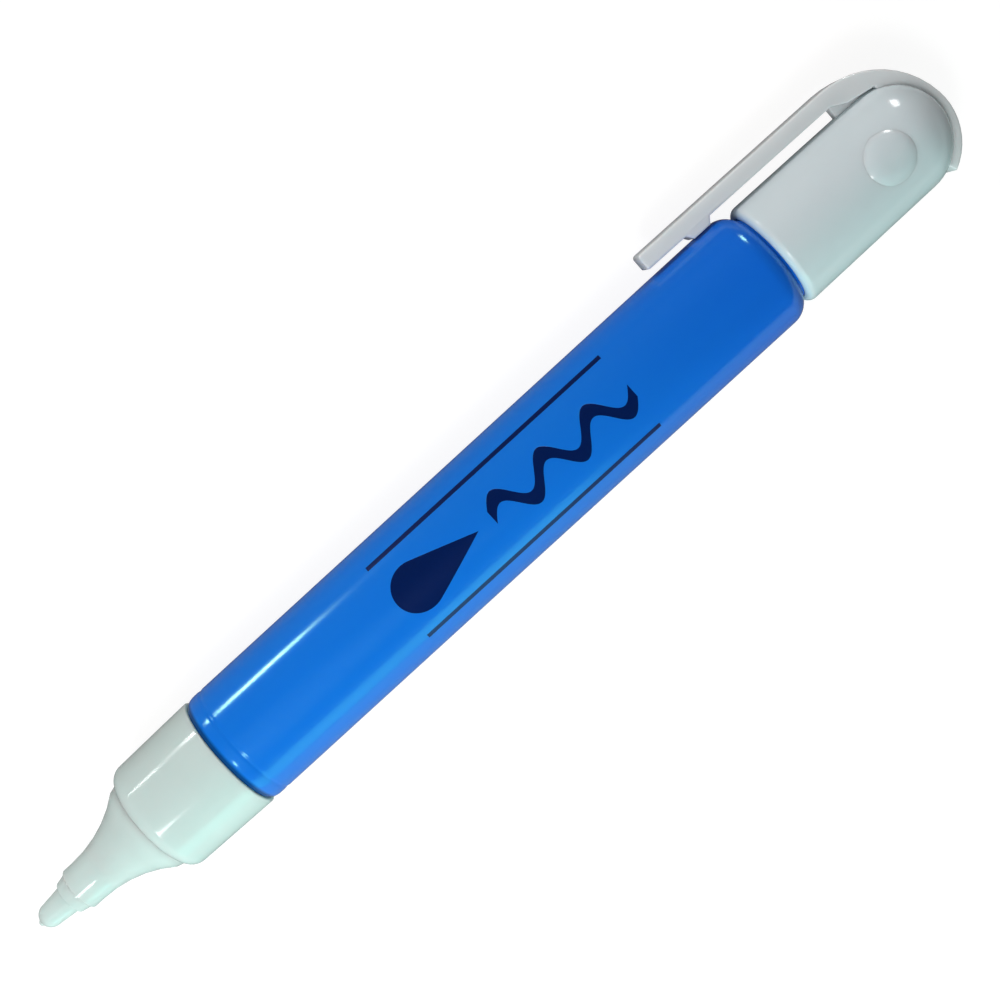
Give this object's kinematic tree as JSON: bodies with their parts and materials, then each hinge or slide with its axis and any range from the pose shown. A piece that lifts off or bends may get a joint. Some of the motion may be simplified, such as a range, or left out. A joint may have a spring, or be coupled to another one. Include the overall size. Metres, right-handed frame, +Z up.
{
  "type": "correction pen",
  "caption": "Squeeze correction pen with a sprung needle tip, stepped nose, glossy barrel and a posted domed cap with a pocket clip, for laying down opaque fluid.",
  "frame": {"origin": "under the middle of the pen's box, on the surface that it lies on", "axes": "+X along the pen from the tip to the posted cap, +Y the way the clip points, +Z up"},
  "size_m": [0.1326, 0.017, 0.0142],
  "materials": {
    "barrel_blue": "glossy moulded",
    "nose_white": "translucent satin",
    "tip_white": "translucent satin",
    "cap_grey": "satin moulded",
    "liner_plastic": "natural",
    "valve_plastic": "natural",
    "seal_rubber": "matt",
    "steel": "bright"
  },
  "bodies": {
    "pen": {"barrel": "barrel_blue", "nose_collar": "nose_white", "nozzle_cone": "nose_white", "nozzle_tip": "tip_white", "cone_gasket": "seal_rubber", "valve_cage": "valve_plastic", "needle_spring": "steel"},
    "needle": {"needle_pin": "steel", "needle_stop": "valve_plastic"},
    "ball": {"mixing_ball": "steel"},
    "cap": {"cap_shell": "cap_grey", "cap_liner": "liner_plastic", "cap_seal": "seal_rubber"},
    "clip": {"clip_arm": "cap_grey"}
  },
  "joints": [
    {"name": "cap_pull", "type": "slide", "parent": "pen", "child": "cap", "axis": [1, 0, 0], "range_m": [0, 0.03]},
    {"name": "clip_flex", "type": "hinge", "parent": "cap", "child": "clip", "pos_m": [0.05621, 0.00827, 0.0071], "axis": [0, 0, -1], "range_deg": [0, 5], "stiffness_Nm_per_rad": 0.4},
    {"name": "needle_press", "type": "slide", "parent": "pen", "child": "needle", "axis": [1, 0, 0], "range_m": [0, 0.0002], "stiffness_N_per_m": 100, "springref_m": -0.002, "deforming": ["needle_spring"]},
    {"name": "ball_roll", "type": "slide", "parent": "pen", "child": "ball", "axis": [1, 0, 0], "range_m": [-0.0322, 0.0335]}
  ]
}
